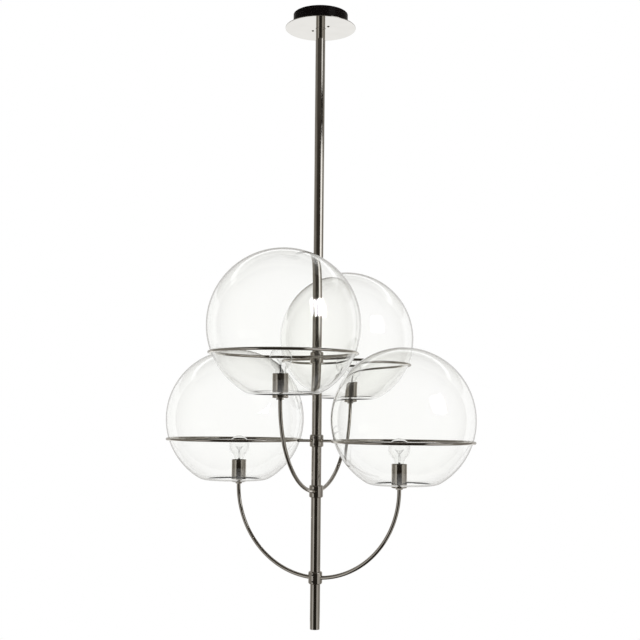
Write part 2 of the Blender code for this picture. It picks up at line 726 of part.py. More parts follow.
def build_canopy():
    """Cup and disc, pierced for the stem and for the two screws that hold them to the yoke."""
    turned = anchor("canopy", (0, 0, 0), YOKE_TURN)
    bore = CUP_RADIUS - CUP_WALL
    corner = CUP_BOTTOM + CUP_CORNER
    screw_places = [(-CANOPY_SCREW_REACH, 0), (CANOPY_SCREW_REACH, 0)]
    outline = [(STEM_HOLE_RADIUS, CUP_FLOOR_TOP), (STEM_HOLE_RADIUS, CUP_BOTTOM)]
    outline += arc((CUP_RADIUS - CUP_CORNER, corner), CUP_CORNER, -QUARTER_TURN, 0, FILLET_STEPS)
    outline += [(CUP_RADIUS, -FIT), (bore, -FIT)]
    outline += arc((CUP_RADIUS - CUP_CORNER, corner), CUP_CORNER - CUP_WALL, 0, -QUARTER_TURN, FILLET_STEPS)
    cup = lathe("cup", outline, CANOPY_SIDES)
    cup = drilled(cup, SCREW_HOLE_RADIUS, screw_places, CUP_BOTTOM - OVERRUN, CUP_FLOOR_TOP + OVERRUN)
    place("canopy_cup", cup, "black_lacquer", turned)

    top = DISC_BOTTOM + DISC_THICKNESS
    outline = [
        (STEM_HOLE_RADIUS, top),
        (STEM_HOLE_RADIUS, DISC_BOTTOM),
        (DISC_RADIUS - DISC_EDGE, DISC_BOTTOM),
        (DISC_RADIUS, DISC_BOTTOM + DISC_EDGE),
        (DISC_RADIUS, top - DISC_EDGE),
        (DISC_RADIUS - DISC_EDGE, top),
    ]
    disc = lathe("disc", outline, CANOPY_SIDES)
    disc = drilled(disc, SCREW_HOLE_RADIUS, screw_places, DISC_BOTTOM - OVERRUN, top + OVERRUN)
    place("canopy_disc", disc, "mirror_disc", turned)

    head_top = DISC_BOTTOM - FIT
    outline = [
        (0, head_top - SCREW_HEAD_HEIGHT),
        (SCREW_RADIUS, head_top - SCREW_HEAD_HEIGHT),
        (SCREW_HEAD_RADIUS, head_top),
        (SCREW_RADIUS, head_top),
        (SCREW_RADIUS, WEB_TOP + SCREW_TIP),
        (0, WEB_TOP + SCREW_TIP),
    ]
    for side, spot in zip(("left", "right"), screw_places):
        screw = lathe("screw", outline, SCREW_SIDES, closed=False)
        place(f"canopy_screw_{side}", screw, "polished_nickel", turned, (*spot, 0))


def build_stem():
    """The stem with the holes where the arms enter, its top bush and its end plug."""
    stem = tube("stem", STEM_RADIUS, STEM_BORE_RADIUS, STEM_SIDES, STEM_BOTTOM, STEM_TOP)
    for tier in TIERS.values():
        for cutter in arm_bores([turn + tier["arm_turn"] for turn in tier["turns"].values()]):
            cutter = moved(cutter, Matrix.Translation((0, 0, tier["arm_height"])))
            stem = combine(stem, cutter, "DIFFERENCE")
    place("stem_tube", stem, "polished_nickel")
    plug_radius = STEM_BORE_RADIUS - FIT
    bush = rod("bush", plug_radius, STEM_SIDES, STEM_TOP - BUSH_HEIGHT, STEM_TOP)
    bore = rod(
        "bore", NIPPLE_RADIUS + FIT, NIPPLE_SIDES, STEM_TOP - BUSH_HEIGHT - OVERRUN, STEM_TOP + OVERRUN
    )
    bore.transform(Matrix.Rotation(YOKE_TURN, 4, "Z"))
    place("stem_top_bush", combine(bush, bore, "DIFFERENCE"), "brass")
    plug_bottom = STEM_BOTTOM + PLUG_RECESS
    plug = rod("plug", plug_radius, STEM_SIDES, plug_bottom, plug_bottom + PLUG_HEIGHT)
    place("stem_end_plug", plug, "polished_nickel")


def build_collars():
    """Two collars a tier, one for its rings and one for its arms."""
    for name, tier in TIERS.items():
        ring_turns = list(tier["turns"].values())
        arm_turns = [turn + tier["arm_turn"] for turn in ring_turns]
        for kind, cutters, turn in (
            ("ring", rod_bores(ring_turns), ring_turns[0]),
            ("arm", arm_bores(arm_turns), arm_turns[0]),
        ):
            collar = collar_mesh(cutters, turn - QUARTER_TURN)
            middle = (0, 0, tier[f"{kind}_height"])
            place(f"{name}_{kind}_collar", collar, "polished_nickel", location=middle)


def build_ring_and_globe(side, ring_height, globe_radius, turn):
    """A ring on its collar and the globe that sits in it."""
    seat_angle, rise = globe_seat(globe_radius)
    seat = (RING_REACH * math.cos(turn), RING_REACH * math.sin(turn), ring_height)
    ring_seat = anchor(f"ring_seat_{side}", seat, turn)
    place(f"ring_{side}", ring_mesh(seat_angle), "polished_nickel", ring_seat)
    place(f"globe_{side}", globe_mesh(globe_radius), "clear_glass", ring_seat, (0, 0, rise))


def build_arm_and_lamp(side, arm_height, turn):
    """An arm with its holder, and the bulb screwed into it."""
    arm_root = anchor(f"arm_root_{side}", (0, 0, arm_height), turn)
    place(f"arm_{side}", arm_mesh(), "polished_nickel", arm_root)
    lead = sweep("lead", lead_path(arm_height), LEAD_RADIUS, CABLE_SIDES)
    place(f"lamp_lead_{side}", lead, "cable_sheath", arm_root)
    holder = anchor(f"holder_{side}", (ARM_REACH, 0, HOLDER_RISE), parent=arm_root)
    place(f"holder_cover_{side}", holder_cover_mesh(), "polished_nickel", holder)
    place(f"holder_insert_{side}", holder_insert_mesh(), "porcelain", holder)
    place(f"holder_shell_{side}", screw_shell_mesh(), "brass", holder)
    bulb = anchor(f"bulb_{side}", (0, 0, CAP_TOP), parent=holder)
    place(f"bulb_cap_{side}", bulb_cap_mesh(), "bulb_cap", bulb)
    place(f"bulb_glass_{side}", bulb_glass_mesh(), "clear_glass", bulb)
    place(f"bulb_mount_{side}", bulb_mount_mesh(), "wire", bulb)


clear_scene()
build_ceiling_fitting()
build_canopy()
build_stem()
build_collars()
for tier in TIERS.values():
    for side, turn in tier["turns"].items():
        build_ring_and_globe(side, tier["ring_height"], tier["globe_radius"], turn)
        build_arm_and_lamp(side, tier["arm_height"], turn + tier["arm_turn"])
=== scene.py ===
# A rod-hung pendant light with four clear glass globes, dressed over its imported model.
import math

import bmesh
import bpy
from mathutils import Matrix, Vector


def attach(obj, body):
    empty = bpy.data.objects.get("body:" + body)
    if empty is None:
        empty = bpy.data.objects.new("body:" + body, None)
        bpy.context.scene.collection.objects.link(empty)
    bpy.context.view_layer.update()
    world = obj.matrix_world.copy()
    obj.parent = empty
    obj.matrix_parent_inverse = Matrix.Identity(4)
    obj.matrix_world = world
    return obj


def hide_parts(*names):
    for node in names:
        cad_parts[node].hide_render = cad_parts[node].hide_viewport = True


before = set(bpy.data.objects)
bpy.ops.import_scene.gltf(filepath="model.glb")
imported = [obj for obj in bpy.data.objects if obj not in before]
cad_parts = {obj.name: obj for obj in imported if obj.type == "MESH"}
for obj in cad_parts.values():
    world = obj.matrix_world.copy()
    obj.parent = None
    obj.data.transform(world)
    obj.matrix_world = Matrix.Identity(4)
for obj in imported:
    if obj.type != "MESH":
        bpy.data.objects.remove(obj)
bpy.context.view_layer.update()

# Ceiling plate: a round of zinc-plated steel sheet, blanked and drilled, screwed to the ceiling.
# It has a hole for the supply cable, two for its own screws and two for the screws of the yoke.
yoke_turn = -18.5
gap = 0.0003
plate_radius = 0.062
plate_thickness = 0.003
plate_edge = 0.0007
plate_screw_reach = 0.048
cable_hole_reach = 0.026
yoke_screw_reach = 0.047
yoke_screw_radius = 0.002
plate_screw_hole = 0.003
cable_hole = 0.008
drill_reach = 0.01


def finished(shape):
    """The mesh of a bmesh, closed and with its faces outwards."""
    bmesh.ops.remove_doubles(shape, verts=shape.verts, dist=0.000002)
    bmesh.ops.recalc_face_normals(shape, faces=shape.faces)
    mesh = bpy.data.meshes.new("piece")
    shape.to_mesh(mesh)
    shape.free()
    return mesh


def turned(outline, sides=96, closed=True):
    """Turns an outline of (radius, height) points about an upright axis."""
    shape = bmesh.new()
    points = [shape.verts.new((radius, 0, height)) for radius, height in outline]
    edges = [shape.edges.new(pair) for pair in zip(points, points[1:])]
    if closed:
        edges.append(shape.edges.new((points[-1], points[0])))
    bmesh.ops.spin(
        shape,
        geom=points + edges,
        axis=(0, 0, 1),
        cent=(0, 0, 0),
        angle=2 * math.pi,
        steps=sides,
        use_merge=True,
    )
    return finished(shape)


def rounding(radius, height, size, start, end, steps=6):
    """Outline points round a corner's centre, from one angle to another in degrees."""
    angles = [math.radians(start + (end - start) * k / steps) for k in range(steps + 1)]
    return [(radius + size * math.cos(a), height + size * math.sin(a)) for a in angles]


def worked(mesh, other, way="DIFFERENCE"):
    """The mesh after another one is cut from it, joined to it or kept from it."""
    work = bpy.data.objects.new("work", mesh)
    tool = bpy.data.objects.new("tool", other)
    bpy.context.scene.collection.objects.link(work)
    bpy.context.scene.collection.objects.link(tool)
    step = work.modifiers.new("step", "BOOLEAN")
    step.operation = way
    step.solver = "EXACT"
    step.object = tool
    graph = bpy.context.evaluated_depsgraph_get()
    result = bpy.data.meshes.new_from_object(work.evaluated_get(graph))
    bpy.data.objects.remove(work)
    bpy.data.objects.remove(tool)
    return result


def upright(radius, low, high, x=0.0, y=0.0, sides=32):
    """A plain upright rod, used as a drill or a dowel."""
    mesh = turned([(0, low), (radius, low), (radius, high), (0, high)], sides, closed=False)
    mesh.transform(Matrix.Translation((x, y, 0)))
    return mesh


def drilled(mesh, radius, places, low, high):
    """Upright round holes at (x, y) places."""
    for x, y in places:
        mesh = worked(mesh, upright(radius, low, high, x, y))
    return mesh


def spun(degrees):
    """A turn about the upright axis."""
    return Matrix.Rotation(math.radians(degrees), 4, "Z")


def fitted(name, mesh, finish, body, nodes=(), place=(0, 0, 0), turn=0.0):
    """Adds a piece in its place on its body. Round faces shine smoothly and flat ones stay flat."""
    mesh.materials.clear()
    mesh.materials.append(finish)
    mesh.shade_smooth()
    mesh.set_sharp_from_angle(angle=math.radians(35))
    piece = bpy.data.objects.new(name, mesh)
    bpy.context.scene.collection.objects.link(piece)
    piece.location = place
    piece.rotation_euler = (0, 0, math.radians(turn))
    shine = piece.modifiers.new("even_shine", "WEIGHTED_NORMAL")
    shine.keep_sharp = True
    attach(piece, body)
    if nodes:
        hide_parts(*nodes)
    return piece


def new_finish(name):
    """An empty finish and its shader."""
    made = bpy.data.materials.new(name)
    made.use_nodes = True
    return made, made.node_tree.nodes["Principled BSDF"]


def added(tree, kind, way=None, **values):
    """Adds a shader node, with the way it works, and sets its inputs by their names."""
    node = tree.nodes.new("ShaderNode" + kind)
    if way:
        node.operation = way
    for name, value in values.items():
        node.inputs[name.replace("_", " ")].default_value = value
    return node


def wired(tree, *wires):
    """Joins shader nodes, each wire from an output of one node to an input of another."""
    for start, out, end, into in wires:
        tree.links.new(start.outputs[out], end.inputs[into])


def ramped(tree, low, dark, high, pale):
    """Adds a colour ramp from a dark tone to a pale one."""
    ramp = added(tree, "ValToRGB")
    for stop, position, colour in zip(ramp.color_ramp.elements, (low, high), (dark, pale)):
        stop.position = position
        stop.color = (*colour, 1)
    return ramp


def grained(name, dark, pale, grain, smooth, dull, relief):
    """A finish whose colour, sheen and surface share a grain, given in grains a metre on x, y, z."""
    made, shader = new_finish(name)
    tree = made.node_tree
    place = added(tree, "TexCoord")
    stretch = added(tree, "Mapping", Scale=grain)
    speck = added(tree, "TexNoise", Scale=1, Detail=4)
    tint = ramped(tree, 0.32, dark, 0.68, pale)
    sheen = added(tree, "MapRange", From_Min=0.3, From_Max=0.7, To_Min=smooth, To_Max=dull)
    bump = added(tree, "Bump", Strength=relief, Distance=0.0001)
    wired(
        tree,
        (place, "Object", stretch, "Vector"),
        (stretch, "Vector", speck, "Vector"),
        (speck, "Fac", tint, "Fac"),
        (speck, "Fac", sheen, "Value"),
        (speck, "Fac", bump, "Height"),
        (tint, "Color", shader, "Base Color"),
        (sheen, "Result", shader, "Roughness"),
        (bump, "Normal", shader, "Normal"),
    )
    return made


def set_on(finish, **values):
    """Sets values that are the same all over on the finish's own shader."""
    shader = finish.node_tree.nodes["Principled BSDF"]
    for name, value in values.items():
        shader.inputs[name.replace("_", " ")].default_value = value


zinced_steel = grained(
    "zinced_steel", (0.40, 0.42, 0.44), (0.60, 0.61, 0.61), (260, 260, 260), 0.30, 0.48, 0.25
)
set_on(zinced_steel, Metallic=1.0)
plate_low = -plate_thickness
plate_outline = [(0, 0), (0, plate_low)]
plate_outline += rounding(plate_radius - plate_edge, plate_low + plate_edge, plate_edge, -90, 0, 4)
plate_outline += rounding(plate_radius - plate_edge, -plate_edge, plate_edge, 0, 90, 4)
plate = turned(plate_outline, 128)
plate_screw_places = [(0, -plate_screw_reach), (0, plate_screw_reach)]
yoke_screw_places = [(-yoke_screw_reach, 0), (yoke_screw_reach, 0)]
plate = drilled(plate, plate_screw_hole, plate_screw_places, -drill_reach, drill_reach)
plate = drilled(plate, cable_hole, [(0, cable_hole_reach)], -drill_reach, drill_reach)
plate = drilled(plate, yoke_screw_radius + gap, yoke_screw_places, -drill_reach, drill_reach)
ceiling_plate = fitted("plate", plate, zinced_steel, "frame", ["ceiling_plate"], turn=yoke_turn)

# Hanger yoke: a strap of the same sheet, folded to a hat and screwed up under the plate. The stem
# hangs from its middle, and the canopy's two screws go into its web.
web_low = -0.0377
strap = 0.0025
half_span = 0.038
flange_end = 0.054
fold = 0.0012
yoke_width = 0.022
canopy_screw_reach = 0.029
hanging_hole = 0.0053
web_drill = (-0.04, -0.03)
flange_high = -plate_thickness - gap
right_half = [(0, web_low)]
right_half += rounding(half_span - fold - strap, web_low + fold + strap, fold + strap, -90, 0)
right_half += rounding(half_span + fold, flange_high - strap - fold, fold, 180, 90)
right_half += [(flange_end, flange_high - strap), (flange_end, flange_high)]
right_half += rounding(half_span - strap + fold, flange_high - fold, fold + gap, 90, 180)
right_half += rounding(half_span - fold - strap, web_low + fold + strap, fold, 0, -90)
right_half += [(0, web_low + strap)]
left_half = [(-x, z) for x, z in reversed(right_half[1:-1])]


def pulled(outline, way):
    """A bar with the outline's section, from the outline as far as it is pulled."""
    shape = bmesh.new()
    near_face = shape.faces.new([shape.verts.new(point) for point in outline])
    far_side = bmesh.ops.extrude_face_region(shape, geom=[near_face])
    far_edge = [item for item in far_side["geom"] if isinstance(item, bmesh.types.BMVert)]
    bmesh.ops.translate(shape, verts=far_edge, vec=way)
    return finished(shape)


yoke = pulled([(x, -yoke_width / 2, z) for x, z in right_half + left_half], (0, yoke_width, 0))
canopy_screw_places = [(-canopy_screw_reach, 0), (canopy_screw_reach, 0)]
yoke = drilled(yoke, yoke_screw_radius + gap, yoke_screw_places, -drill_reach, 0)
yoke = drilled(yoke, yoke_screw_radius + gap, canopy_screw_places, *web_drill)
yoke = drilled(yoke, hanging_hole, [(0, 0)], *web_drill)
hanger_yoke = fitted("yoke", yoke, zinced_steel, "frame", ["hanger_yoke"], turn=yoke_turn)


def eased(piece, width):
    """Rounds off the sharp edges of a piece."""
    edges = piece.modifiers.new("eased_edges", "BEVEL")
    edges.width = width
    edges.segments = 2
    edges.limit_method = "ANGLE"


eased(hanger_yoke, 0.0002)

# Yoke screws: two pan-headed machine screws of zinced steel, put up through the flanges of the
# yoke into the plate. Each has a straight slot.
pan_radius = 0.0042
pan_height = 0.0018
pan_edge = 0.001
slot_width = 0.0009
slot_depth = 0.0009
saw_length = 0.02
pan_high = flange_high - strap - gap


def sawn(mesh, size, place):
    """Saws out a straight groove of a size along X, Y and Z, with its middle at a place."""
    saw = bmesh.new()
    bmesh.ops.create_cube(saw, size=1.0)
    bmesh.ops.scale(saw, verts=saw.verts, vec=size)
    bmesh.ops.translate(saw, verts=saw.verts, vec=place)
    return worked(mesh, finished(saw))


def slotted(outline, sides, width, depth):
    """Turns a screw that starts at its head, and saws a straight slot into the head from below."""
    return sawn(turned(outline, sides, closed=False), (saw_length, width, 2 * depth), (0, 0, outline[0][1]))


pan = [(0, pan_high - pan_height)]
pan += rounding(pan_radius - pan_edge, pan_high - pan_height + pan_edge, pan_edge, -90, 0, 4)
pan += [(pan_radius, pan_high), (yoke_screw_radius, pan_high), (yoke_screw_radius, -gap), (0, -gap)]
for side, x in (("left", -yoke_screw_reach), ("right", yoke_screw_reach)):
    screw = slotted(pan, 48, slot_width, slot_depth)
    screw.transform(spun(yoke_turn) @ Matrix.Translation((x, 0, 0)))
    made = fitted("pan_screw_" + side, screw, zinced_steel, "frame", ["yoke_screw_" + side])

# Terminal block: moulded nylon with three poles, each with a brass clamping screw down a well.
# It sits under the plate and joins the supply to the lamp's own cable.
block_high = -plate_thickness - gap
block_reach = 0.030
block_half = 0.0085
crest_half = 0.0045
block_step = 0.006
block_height = 0.014
pole_pitch = 0.010
block_length = 3 * pole_pitch
groove_size = (0.0016, 0.03, 0.008)
well_size = 0.0026
well_depth = 0.008
entry_size = 0.0022
entry_drop = 0.0035
clamp_radius = 0.0023
clamp_rise = 0.0015
clamp_slot = 0.0006
clamp_slot_depth = 0.0008
nylon = grained("nylon", (0.80, 0.78, 0.72), (0.90, 0.88, 0.82), (160, 160, 160), 0.38, 0.52, 0.15)
block_profile = [
    (block_half, block_high),
    (block_half, block_high - block_step),
    (crest_half, block_high - block_height),
    (-crest_half, block_high - block_height),
    (-block_half, block_high - block_step),
    (-block_half, block_high),
]
block = pulled([(-block_length / 2, y, z) for y, z in block_profile], (block_length, 0, 0))
for x in (-pole_pitch / 2, pole_pitch / 2):
    block = sawn(block, groove_size, (x, 0, block_high - block_height))
wells = [(x, 0) for x in (-pole_pitch, 0, pole_pitch)]
well_floor = block_high - well_depth
block = drilled(block, well_size, wells, -0.03, well_floor)
for x, _ in wells:
    entry = upright(entry_size, -0.02, 0.02)
    entry_place = Matrix.Translation((x, 0, block_high - entry_drop))
    entry.transform(entry_place @ Matrix.Rotation(math.pi / 2, 4, "X"))
    block = worked(block, entry)
block.transform(spun(yoke_turn) @ Matrix.Translation((0, -block_reach, 0)))
terminal_block = fitted("terminals", block, nylon, "frame", ["terminal_block"])
eased(terminal_block, 0.0003)
brass = grained("brass", (0.55, 0.42, 0.20), (0.80, 0.64, 0.35), (90, 90, 400), 0.22, 0.38, 0.12)
set_on(brass, Metallic=1.0)
clamp_low = block_high - block_height + clamp_rise
clamp = [(0, clamp_low), (clamp_radius, clamp_low), (clamp_radius, well_floor), (0, well_floor)]
for pole, (x, _) in enumerate(wells):
    screw = slotted(clamp, 24, clamp_slot, clamp_slot_depth)
    aside = Matrix.Translation((x, -block_reach, 0)) @ Matrix.Rotation(0.5 + pole, 4, "Z")
    screw.transform(spun(yoke_turn) @ aside)
    fitted(f"clamp_screw_{pole}", screw, brass, "frame")

# Hanging tube and nut: a threaded brass tube that goes down through the yoke into the bush in
# the top of the stem. A six-sided nut on the web of the yoke carries the whole light.
hanging_low = -0.052
hanging_high = -0.0269
nut_low = -0.0349
nut_high = -0.0299


def skinned(shape, loops):
    """Closes the bands between loops of corners."""
    for first, second in zip(loops, loops[1:]):
        for k, after in enumerate([*range(1, len(first)), 0]):
            shape.faces.new((first[k], first[after], second[after], second[k]))
    return finished(shape)


def threaded(crest, depth, pitch, low, high, bore=None, wall=None, sides=32, rows=8):
    """A tube with a screw thread that runs out at both ends. Its bore is plain or follows the thread."""
    fading = 1.5 / pitch
    shape = bmesh.new()
    count = round((high - low) / pitch * rows)
    outside = []
    inside = []
    for row in range(count + 1):
        height = low + (high - low) * row / count
        run_out = min(1, fading * (height - low), fading * (high - height))
        outer_loop = []
        inner_loop = []
        for side in range(sides):
            angle = 2 * math.pi * side / sides
            wave = 0.5 + 0.5 * math.cos(2 * math.pi * height / pitch - angle)
            radius = crest - depth + depth * wave * run_out
            inner = radius - wall if wall else bore
            outer_loop.append(shape.verts.new((radius * math.cos(angle), radius * math.sin(angle), height)))
            inner_loop.append(shape.verts.new((inner * math.cos(angle), inner * math.sin(angle), height)))
        outside.append(outer_loop)
        inside.append(inner_loop)
    return skinned(shape, outside + inside[::-1] + [outside[0]])


def six_sided(corner, bore, low, high):
    """A six-sided nut with its corners turned down at both faces."""
    face = 0.88 * corner
    past = 0.07 * corner
    ends = [(0, low), (face, low), (corner + past, low + 2 * past)]
    ends += [(corner + past, high - 2 * past), (face, high), (0, high)]
    blank = worked(upright(corner, low, high, sides=6), turned(ends, 64, closed=False), "INTERSECT")
    return drilled(blank, bore, [(0, 0)], low - drill_reach, high + drill_reach)


hanging = threaded(
    crest=0.005, depth=0.0006, pitch=0.001, low=hanging_low, high=hanging_high, bore=0.0036
)
fitted("hanging_tube", hanging, brass, "frame", ["hanger_nipple"])
nut = six_sided(corner=0.0085, bore=hanging_hole, low=nut_low, high=nut_high)
fitted("hanging_nut", nut, brass, "frame", ["hanger_nut"], turn=yoke_turn)

# Canopy cup: a deep-drawn steel cup in black lacquer, shut against the ceiling. Its floor is
# pierced for the stem and for the two screws.
cup_radius = 0.0795
cup_wall = 0.0012
cup_corner = 0.004
cup_low = -0.0392
cup_high = -0.0003
stem_hole = 0.0147
screw_hole = 0.0023
canopy_drill = (-0.05, -0.03)
black_lacquer = grained(
    "black_lacquer", (0.003, 0.002, 0.002), (0.005, 0.004, 0.004), (420, 420, 420), 0.16, 0.26, 0.10
)
set_on(black_lacquer, Specular_IOR_Level=0.07)
cup_outline = [(stem_hole, cup_low + cup_wall), (stem_hole, cup_low)]
cup_outline += rounding(cup_radius - cup_corner, cup_low + cup_corner, cup_corner, -90, 0, 10)
cup_outline += rounding(cup_radius - cup_wall / 2, cup_high - cup_wall / 2, cup_wall / 2, 0, 180, 6)
cup_outline += rounding(cup_radius - cup_corner, cup_low + cup_corner, cup_corner - cup_wall, 0, -90, 8)
cup = drilled(turned(cup_outline, 160), screw_hole, canopy_screw_places, *canopy_drill)
canopy_cup = fitted("cup", cup, black_lacquer, "canopy", ["canopy_cup"], turn=yoke_turn)

# Canopy disc: a round of brass plate, turned, polished to a mirror and nickel plated. It covers
# the cup from below and is wider than it.
disc_radius = 0.1025
disc_low = -0.0415
disc_high = -0.0395
disc_edge = 0.0006
mirror = grained("mirror_disc", (0.765, 0.75, 0.715), (0.795, 0.78, 0.745), (30, 30, 30), 0.015, 0.05, 0.0)
set_on(mirror, Metallic=1.0)
disc_outline = [(stem_hole, disc_high), (stem_hole, disc_low)]
disc_outline += rounding(disc_radius - disc_edge, disc_low + disc_edge, disc_edge, -90, 0, 5)
disc_outline += rounding(disc_radius - disc_edge, disc_high - disc_edge, disc_edge, 0, 90, 5)
disc = drilled(turned(disc_outline, 192), screw_hole, canopy_screw_places, *canopy_drill)
canopy_disc = fitted("disc", disc, mirror, "canopy", ["canopy_disc"], turn=yoke_turn)

# Canopy screws: two domed screws, nickel plated, up through disc and cup into the yoke. They are
# the only fastenings that show, one on each side of the stem.
dome_radius = 0.0042
dome_height = 0.0018
dome_high = disc_low - gap
screw_tip = -0.0332
tip_edge = 0.0006
dome_slot_depth = 0.0008
nickel, nickel_shader = new_finish("polished_nickel")
set_on(nickel, Metallic=1.0)
nickel_tree = nickel.node_tree
nickel_place = added(nickel_tree, "TexCoord")
drawn = added(nickel_tree, "Mapping", Scale=(900, 900, 6))
drawn_lines = added(nickel_tree, "TexNoise", Scale=1, Detail=3)
bloom = added(nickel_tree, "TexNoise", Scale=38, Detail=6)
nickel_tint = ramped(nickel_tree, 0.3, (0.61, 0.58, 0.53), 0.6, (0.68, 0.65, 0.60))
bloom_sheen = added(nickel_tree, "MapRange", From_Min=0.35, From_Max=0.75, To_Min=0.05, To_Max=0.12)
line_relief = added(nickel_tree, "Bump", Strength=0.10, Distance=0.00004)
wired(
    nickel_tree,
    (nickel_place, "Object", drawn, "Vector"),
    (drawn, "Vector", drawn_lines, "Vector"),
    (nickel_place, "Object", bloom, "Vector"),
    (bloom, "Fac", nickel_tint, "Fac"),
    (bloom, "Fac", bloom_sheen, "Value"),
    (drawn_lines, "Fac", line_relief, "Height"),
    (nickel_tint, "Color", nickel_shader, "Base Color"),
    (bloom_sheen, "Result", nickel_shader, "Roughness"),
    (line_relief, "Normal", nickel_shader, "Normal"),
)
dome_curve = (dome_radius**2 + dome_height**2) / (2 * dome_height)
dome_reach = math.degrees(math.asin(dome_radius / dome_curve))
dome = rounding(0, dome_high - dome_height + dome_curve, dome_curve, -90, dome_reach - 90, 10)
dome += [(yoke_screw_radius, dome_high), (yoke_screw_radius, screw_tip - tip_edge)]
dome += [(yoke_screw_radius - tip_edge, screw_tip), (0, screw_tip)]
dome[0] = (0, dome_high - dome_height)
for side, x in (("left", -canopy_screw_reach), ("right", canopy_screw_reach)):
    screw = slotted(dome, 64, slot_width, dome_slot_depth)
    screw.transform(spun(yoke_turn) @ Matrix.Translation((x, 0, 0)))
    made = fitted("dome_screw_" + side, screw, nickel, "canopy", ["canopy_screw_" + side])

# Stem: one drawn brass tube, polished and nickel plated, from the canopy to its cut lower end.
# Where the arms enter, it is drilled right through to the wiring.
stem_radius = 0.014
stem_bore = 0.0127
stem_low = -1.761
stem_high = -0.038
stem_chamfer = 0.0004
arm_reach = 0.250
arm_radius = 0.0055
arm_bore = 0.0045
ring_reach = 0.254
tiers = {
    "lower": {"rings": -1.240, "arms": -1.620, "aside": -4.9, "turns": {"right": 0, "left": 180}},
    "upper": {"rings": -1.007, "arms": -1.3815, "aside": -2.15, "turns": {"front": -90, "back": 90}},
}


def bent(path, radius, sides=24, bore=None):
    """A round rod, or a tube with a bore, along a path of (x, z) points in the XZ plane."""
    shape = bmesh.new()
    points = [Vector((x, 0, z)) for x, z in path]
    inside = []
    outside = []
    for k, point in enumerate(points):
        after = (points[min(k + 1, len(points) - 1)] - points[min(k, len(points) - 2)]).normalized()
        before = (points[max(k, 1)] - points[max(k - 1, 0)]).normalized()
        along = (after + before).normalized()
        up = Vector((-along.z, 0, along.x))
        spokes = [2 * math.pi * side / sides for side in range(sides)]
        around = [Vector((0, math.cos(a), 0)) + up * math.sin(a) for a in spokes]
        outside.append([shape.verts.new(point + spoke * radius) for spoke in around])
        if bore:
            inside.append([shape.verts.new(point + spoke * bore) for spoke in around])
    loops = outside + inside[::-1]
    if bore:
        loops.append(outside[0])
    else:
        shape.faces.new(outside[0])
        shape.faces.new(outside[-1])
    return skinned(shape, loops)


def stood(reach, turn):
    """The (x, y) of a piece so far out from the stem, at its turn in degrees."""
    return reach * math.cos(math.radians(turn)), reach * math.sin(math.radians(turn))


stem_outline = [
    (stem_bore, stem_low),
    (stem_radius - stem_chamfer, stem_low),
    (stem_radius, stem_low + stem_chamfer),
    (stem_radius, stem_high - stem_chamfer),
    (stem_radius - stem_chamfer, stem_high),
    (stem_bore, stem_high),
]
stem = turned(stem_outline, 96)
arm_entry = [(x, arm_reach - math.sqrt(arm_reach**2 - x**2)) for x in (0, 0.01, 0.02, 0.03)]
for tier in tiers.values():
    for turn in tier["turns"].values():
        drill = bent(arm_entry, arm_radius + gap)
        aim = spun(turn + tier["aside"])
        drill.transform(Matrix.Translation((0, 0, tier["arms"])) @ aim)
        stem = worked(stem, drill)
fitted("stem", stem, nickel, "frame", ["stem_tube"])

# Top bush and end plug: a brass bush is soldered into the top of the stem for the hanging tube,
# and a turned plug, plated with the stem, closes its lower end.
bush_radius = 0.0124
bush_low = -0.056
bush_edge = 0.0004
plug_low = -1.7605
plug_high = -1.7545
plug_edge = 0.0006
bush_outline = [
    (hanging_hole, bush_low),
    (bush_radius, bush_low),
    (bush_radius, stem_high - bush_edge),
    (bush_radius - bush_edge, stem_high),
    (hanging_hole, stem_high),
]
bush = turned(bush_outline)
fitted("top_bush", bush, brass, "frame", ["stem_top_bush"])
plug_outline = [
    (0, plug_low),
    (bush_radius - plug_edge, plug_low),
    (bush_radius, plug_low + plug_edge),
    (bush_radius, plug_high),
    (0, plug_high),
]
plug = turned(plug_outline, 64, closed=False)
fitted("end_plug", plug, nickel, "frame", ["stem_end_plug"])

# Collars: turned brass with round shoulders, plated, slipped on the stem. The upper one of a tier
# holds two ring rods and the lower one two arms, and two grub screws pin each of them.
collar_radius = 0.0195
collar_bore = 0.0143
collar_half = 0.0175
shoulder = 0.0042
rod_radius = 0.004
grub_turns = {"lower": -90, "upper": -180}
grub_height = 0.009
grub_hole = 0.0023
grub_radius = 0.002
grub_point = 0.0145
grub_face = 0.0182
grub_edge = 0.0004
socket_radius = 0.0011
socket_depth = 0.0015
past_collar = 0.03
collar_outline = [(collar_bore, collar_half), (collar_bore, -collar_half)]
collar_outline += rounding(collar_radius - shoulder, shoulder - collar_half, shoulder, -90, 0, 10)
collar_outline += rounding(collar_radius - shoulder, collar_half - shoulder, shoulder, 0, 90, 10)
black_steel = grained("black_steel", (0.05, 0.05, 0.05), (0.11, 0.11, 0.11), (700, 700, 700), 0.35, 0.5, 0.2)
set_on(black_steel, Metallic=1.0)
